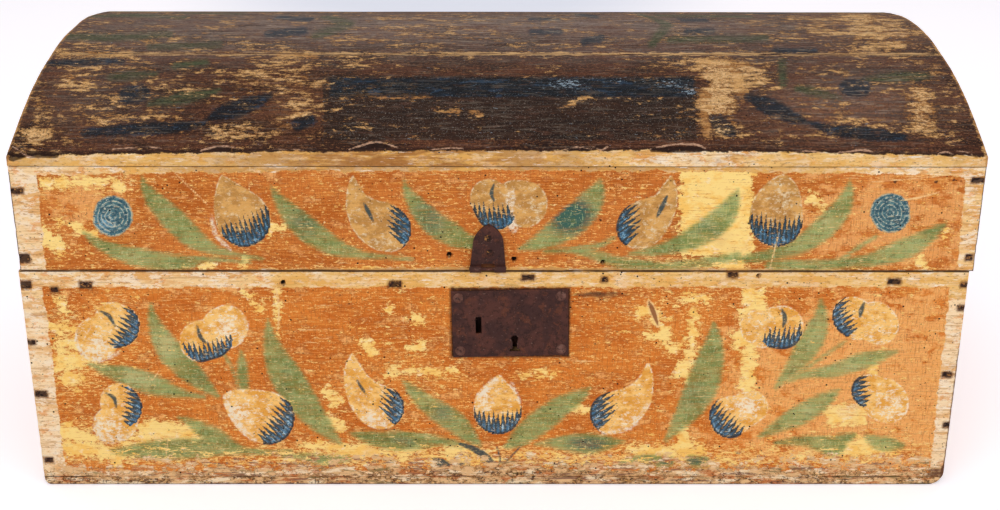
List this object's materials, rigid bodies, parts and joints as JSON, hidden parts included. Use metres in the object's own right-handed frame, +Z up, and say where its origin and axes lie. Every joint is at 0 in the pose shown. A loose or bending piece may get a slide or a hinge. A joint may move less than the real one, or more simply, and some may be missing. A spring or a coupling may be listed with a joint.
{
  "type": "dowry chest",
  "caption": "Small rectangular wooden chest with a low domed lid on wire-eye hinges, a plate lock and painted flower decoration.",
  "frame": {"origin": "middle of the underside, in the plane that the chest stands on, below the middle of the body", "axes": "+X along the front to the viewer's right, +Y to the back, +Z up"},
  "size_m": [0.5228, 0.3281, 0.2357],
  "materials": {
    "painted_beech_front": "worn matt distemper paint over thin beech",
    "painted_beech_dome": "dark worn paint over thin bent beech",
    "stained_beech": "thin worn ochre wash",
    "bare_beech": "bare, darkened with age",
    "forged_iron_nails": "dark rusted, hammered",
    "forged_iron": "dark brown rusted, hammered"
  },
  "bodies": {
    "chest": {"bottom_board": "bare_beech", "front_board": "painted_beech_front", "back_board": "stained_beech", "left_end_board": "stained_beech", "right_end_board": "stained_beech", "front_corner_nails": "forged_iron_nails", "back_corner_nails": "forged_iron_nails", "rail_nails": "forged_iron_nails", "bottom_nails": "forged_iron_nails", "lock_plate": "forged_iron", "lock_inner_cover": "forged_iron", "lock_rivets": "forged_iron", "lock_bolt_guides": "forged_iron", "lock_spring": "forged_iron", "lock_spring_stud": "forged_iron", "lock_ward": "forged_iron", "hinge_lower_eye_left": "forged_iron", "hinge_lower_eye_right": "forged_iron"},
    "lid": {"lid_front_board": "painted_beech_front", "lid_back_board": "stained_beech", "lid_left_end": "stained_beech", "lid_right_end": "stained_beech", "dome_front_board": "painted_beech_dome", "dome_back_board": "painted_beech_dome", "lid_front_nails": "forged_iron_nails", "lid_back_nails": "forged_iron_nails", "dome_end_nails": "forged_iron_nails", "dome_edge_nails": "forged_iron_nails", "hasp_leaf": "forged_iron", "hasp_pin": "forged_iron", "hasp_nails": "forged_iron_nails", "hinge_upper_eye_left": "forged_iron", "hinge_upper_eye_right": "forged_iron"},
    "lock_bolt": {"lock_bolt": "forged_iron"}
  },
  "joints": [
    {"name": "lid_hinge", "type": "hinge", "parent": "chest", "child": "lid", "pos_m": [0, 0.1626, 0.13365], "axis": [-1, 0, 0], "range_deg": [0, 105]},
    {"name": "bolt_slide", "type": "slide", "parent": "chest", "child": "lock_bolt", "axis": [-0.9997, 0, -0.0227], "range_m": [0, 0.008]}
  ]
}
